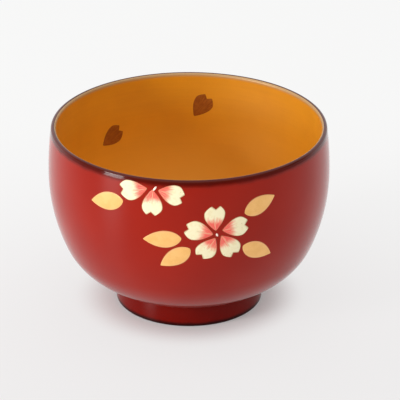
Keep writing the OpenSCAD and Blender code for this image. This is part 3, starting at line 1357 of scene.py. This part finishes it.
@dataclass
class Decoration:
    """All the painted films of the bowl.

    A leaf or loose petal is given by its distance across and its drop under the lip, in
    millimetres, and its heading in degrees; a leaf also by its length in millimetres.
    """

    films: FilmLayer
    leaves: Sequence[tuple[float, float, float, float]] = (
        (-34.2, 12.2, -167, 15.3), (-10.6, 24.5, -175, 15.2), (-5.5, 32.5, -144, 14.4),
        (28.9, 12.5, 19, 14.2), (28.3, 32.4, -27, 14.6))
    loose_petals: Sequence[tuple[float, float, float]] = ((-34.9, 24.4, 28), (5.3, 15, 56))
    loose_length: float = 11.2 * MM

    def build(self) -> None:
        """Lays both blossoms, the leaves and the loose petals."""
        petal_paint = PetalPaint("petal_film").build()
        dot_paint = CreamDot("stamen_film").build()
        stamen, stamen_heading, stamen_foot = OvalShape(2.2 * MM, 0.8 * MM), 55, -0.5 * MM
        lean = math.radians(stamen_heading)
        stamen_move = (stamen_foot + stamen.length / 2 * math.cos(lean),
                       stamen.length / 2 * math.sin(lean))
        Blossom(self.films, "full_blossom", (10.9 * MM, 22.6 * MM),
                ((-0.5, 2, 89.5, 10.4, 0.5), (2.2, 1.8, 6.5, 10.7, 0), (1.8, -0.6, -59, 11.2, 0.2),
                 (-0.7, -1.4, -126, 10.3, 0.4), (-1.6, 0.4, 165, 11.4, 0)),
                "full_blossom_dot", OvalShape(1.4 * MM, 0.8 * MM), (0.0, 0.0), 110,
                ).build(petal_paint, dot_paint)
        Blossom(self.films, "half_blossom", (-13.7 * MM, 4.4 * MM),
                ((-3, 0.6, -170.5, 11.5, 0.5), (-0.8, 0.3, -93, 10.8, 0.4), (1.6, 0.3, -16, 10.4, 0.3)),
                "half_blossom_stamen", stamen, stamen_move, stamen_heading,
                ).build(petal_paint, dot_paint)
        leaf_paint = LeafGold("leaf_film").build()
        for count, (across, drop, heading, length) in enumerate(self.leaves, 1):
            self.films.lay(f"leaf_{count}", LeafShape(length * MM), (across * MM, drop * MM),
                           turned_about(heading), WallSide.OUTSIDE, leaf_paint, "leaf_film")
        stain = StainPaint("brown_film").build()
        for count, (across, drop, heading) in enumerate(self.loose_petals, 1):
            angle = math.radians(heading)
            base = (-self.loose_length / 2 * math.cos(angle), -self.loose_length / 2 * math.sin(angle))
            self.films.lay(f"inner_petal_{count}", PetalShape(self.loose_length),
                           (across * MM, drop * MM), turned_about(heading, base),
                           WallSide.INSIDE, stain, "brown_film")


# ---- studio


@dataclass
class Studio:
    """Pale floor, soft lamps, white surround and the camera."""

    distance: float = 1.1
    elevation: float = math.radians(25.07)
    aim_height: float = 42.59 * MM
    lens: float = 242.75
    sensor: float = 36.0
    shift_x: float = 0.0274
    floor_r: float = 2.5
    floor_sides: int = 96
    floor_near: Colour = (0.82, 0.81, 0.81)
    floor_far: Colour = (0.86, 0.86, 0.86)
    floor_fade: Span = (-0.16, 0.28)
    glow_front: Colour = (0.86, 0.85, 0.85)
    glow_back: Colour = (0.95, 0.95, 0.945)
    glow_fade: Span = (-0.12, 0.2)
    glow_near: float = 0.2
    glow_far: float = 0.8
    glow_ring: Span = (31 * MM, 49 * MM)
    sky: float = 0.9
    room_colour: Colour = (0.05, 0.045, 0.04)
    room_on_floor: Span = (-0.26, -0.46)
    room_on_floor_share: float = 0.88
    room_ahead: Span = (-0.6, -0.2)
    room_top: Span = (0.75, 0.5)

    def build(self) -> None:
        """Builds the whole studio."""
        self.camera()
        self.floor()
        self.surround()
        self.lamp("key", azimuth=-61, elevation=13, distance=1.3, size=(0.36, 0.5), power=11.0)
        bpy.context.scene.view_settings.view_transform = "Standard"

    def camera(self) -> None:
        """Makes the camera and looks through it."""
        data = bpy.data.cameras.new("camera")
        data.lens = self.lens
        data.sensor_width = self.sensor
        data.shift_x = self.shift_x
        camera = bpy.data.objects.new("camera", data)
        camera.location = (0.0, -self.distance * math.cos(self.elevation),
                           self.aim_height + self.distance * math.sin(self.elevation))
        camera.rotation_euler = (math.pi / 2 - self.elevation, 0.0, 0.0)
        bpy.context.scene.collection.objects.link(camera)
        bpy.context.scene.camera = camera

    def floor(self) -> None:
        """Makes the round table top that the bowl stands on."""
        form = bmesh.new()
        bmesh.ops.create_circle(form, cap_ends=True, radius=self.floor_r, segments=self.floor_sides)
        mesh = bpy.data.meshes.new("floor")
        form.to_mesh(mesh)
        form.free()
        mesh.materials.append(self.floor_paint())
        floor = bpy.data.objects.new("floor", mesh)
        bpy.context.scene.collection.objects.link(floor)

    def floor_paint(self) -> bpy.types.Material:
        """Makes the floor's finish: matt paint, lit up where it is seen or mirrored.

        Returns:
            The finish, which keeps the bowl's shadow.
        """
        shader = Shader("floor_sweep")
        x, y, _ = shader.place().parts()
        # In mirrors the floor's front takes the dim room's colour: a painted dark reflection
        dim = shader.ray(Ray.GLOSSY) * y.step(*self.room_on_floor) * self.room_on_floor_share
        # Paint and glow are darker towards the front: painted shade over the floor
        colour = shader.mixed(y.step(*self.floor_fade), self.floor_near, self.floor_far)
        colour = shader.mixed(dim, colour, self.room_colour)
        paint = shader.node("ShaderNodeBsdfDiffuse", {}, {"Color": colour})
        light = shader.mixed(y.step(*self.glow_fade), self.glow_front, self.glow_back)
        glow = shader.node("ShaderNodeEmission", {}, {"Color": light, "Strength": 1.0})
        away = (x * x + y * y) ** 0.5
        share = away.step(*self.glow_ring) * (self.glow_far - self.glow_near) + self.glow_near
        seen = shader.seen_or_mirrored() * (1 - dim)
        surface = shader.node("ShaderNodeMixShader", {}, {0: seen * share, 1: paint, 2: glow})
        shader.node("ShaderNodeOutputMaterial", {}, {"Surface": surface}, None)
        return shader.material

    def surround(self) -> None:
        """Makes the world: a soft white sky, and a dim room in front that only mirrors show."""
        world = bpy.data.worlds.new("surround")
        bpy.context.scene.world = world
        world.use_nodes = True
        graph = Graph(world.node_tree)
        kind, mix = "ShaderNodeBackground", "ShaderNodeMixShader"
        soft = graph.node(kind, {}, {"Color": WHITE, "Strength": self.sky})
        white = graph.node(kind, {}, {"Color": WHITE, "Strength": 1.0})
        room = graph.node(kind, {}, {"Color": self.room_colour, "Strength": 1.0})
        surface = graph.node(mix, {}, {0: graph.seen_or_mirrored(), 1: soft, 2: white})
        x, y, z = graph.node("ShaderNodeTexCoord", {}, {}, "Generated").parts()
        ahead = y * -1 / ((x * x + y * y) ** 0.5 + MM)
        dim = graph.ray(Ray.GLOSSY) * ahead.step(*self.room_ahead) * z.step(*self.room_top)
        surface = graph.node(mix, {}, {0: dim, 1: surface, 2: room})
        graph.node("ShaderNodeOutputWorld", {}, {"Surface": surface}, None)

    @staticmethod
    def lamp(name: str, azimuth: float, elevation: float, distance: float,
             size: tuple[float, float], power: float, aim_height: float = 40 * MM) -> None:
        """Adds a softbox that faces the bowl.

        Args:
            name: the lamp's name.
            azimuth: degrees to the right of the bowl's front, seen from the camera.
            elevation: degrees above the table.
            distance: distance from the bowl.
            size: its width and height.
            power: its power in watts.
            aim_height: height of the point on the bowl's axis that it faces.
        """
        data = bpy.data.lights.new(name, "AREA")
        data.shape = "RECTANGLE"
        data.size, data.size_y = size
        data.energy = power
        lamp = bpy.data.objects.new(name, data)
        turn, lift = math.radians(azimuth), math.radians(elevation)
        ahead = Vector((math.sin(turn) * math.cos(lift), -math.cos(turn) * math.cos(lift),
                        math.sin(lift)))
        lamp.location = ahead * distance + Vector((0.0, 0.0, aim_height))
        lamp.rotation_euler = (-ahead).to_track_quat("-Z", "Y").to_euler()
        bpy.context.scene.collection.objects.link(lamp)


def main() -> None:
    """Builds the studio and the bowl."""
    logging.basicConfig(level=logging.INFO, format="%(name)s: %(message)s")
    Studio().build()
    digits = 5
    section = BowlSection(height=round(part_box("rim_lacquer")[1].z, digits),
                          belly_r=round(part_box("outer_lacquer")[1].x, digits),
                          foot_r=round(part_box("foot_lacquer")[1].x, digits))
    TurnedBowl(section).build()
    Decoration(FilmLayer(section)).build()


if __name__ == "__main__":
    main()
